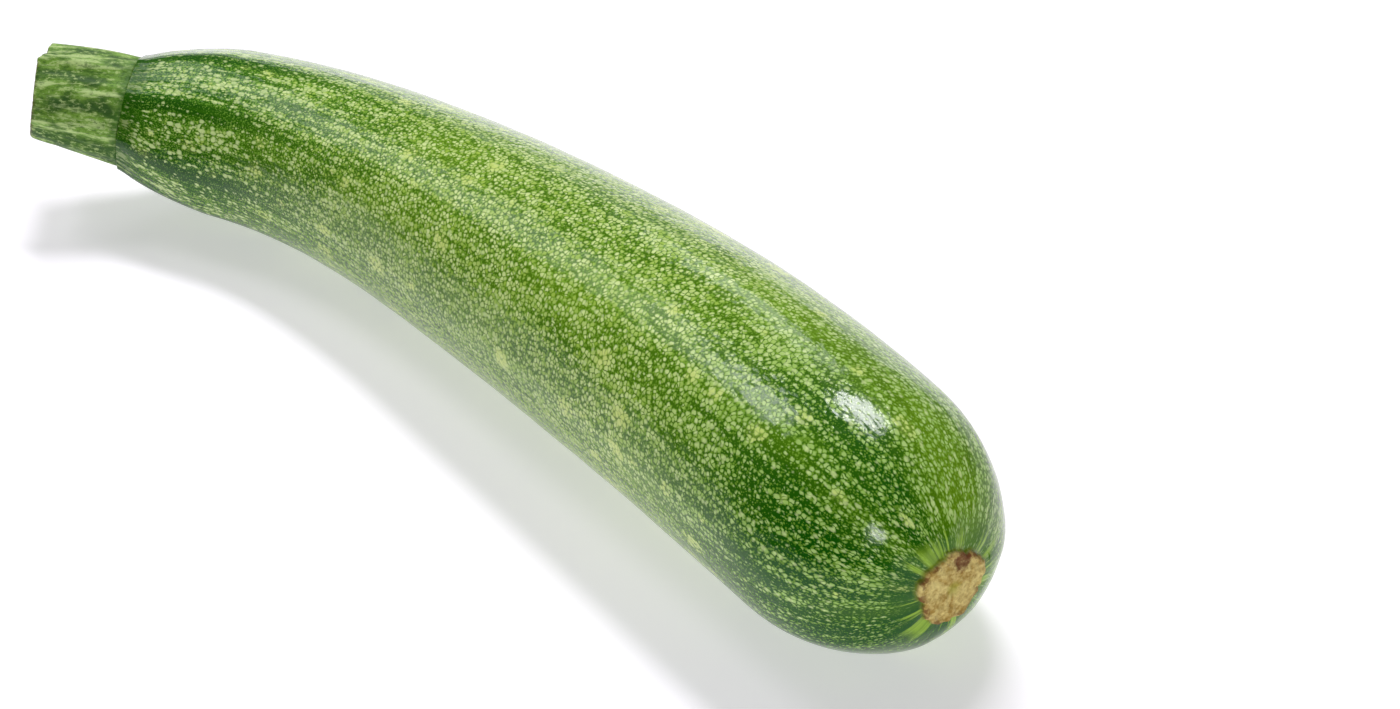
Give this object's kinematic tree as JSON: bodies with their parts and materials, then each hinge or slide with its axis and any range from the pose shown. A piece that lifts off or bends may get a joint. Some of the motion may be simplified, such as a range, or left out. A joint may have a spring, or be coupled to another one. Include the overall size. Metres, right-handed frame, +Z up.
{
  "type": "courgette",
  "caption": "Bent, tapered green courgette lying on its side, with soft ribs, a short ridged stalk stump and a corky blossom scar.",
  "frame": {"origin": "centre of the footprint box, on the ground the courgette lies on", "axes": "+X from the stalk to the blossom end, +Z up from the ground"},
  "size_m": [0.229, 0.0516, 0.0418],
  "materials": {
    "skin": "smooth waxy skin, dark green under dense pale flecks",
    "stalk": "dull ridged stalk, mottled green"
  },
  "bodies": {
    "root": {"fruit": "skin", "stalk": "stalk"}
  },
  "joints": []
}
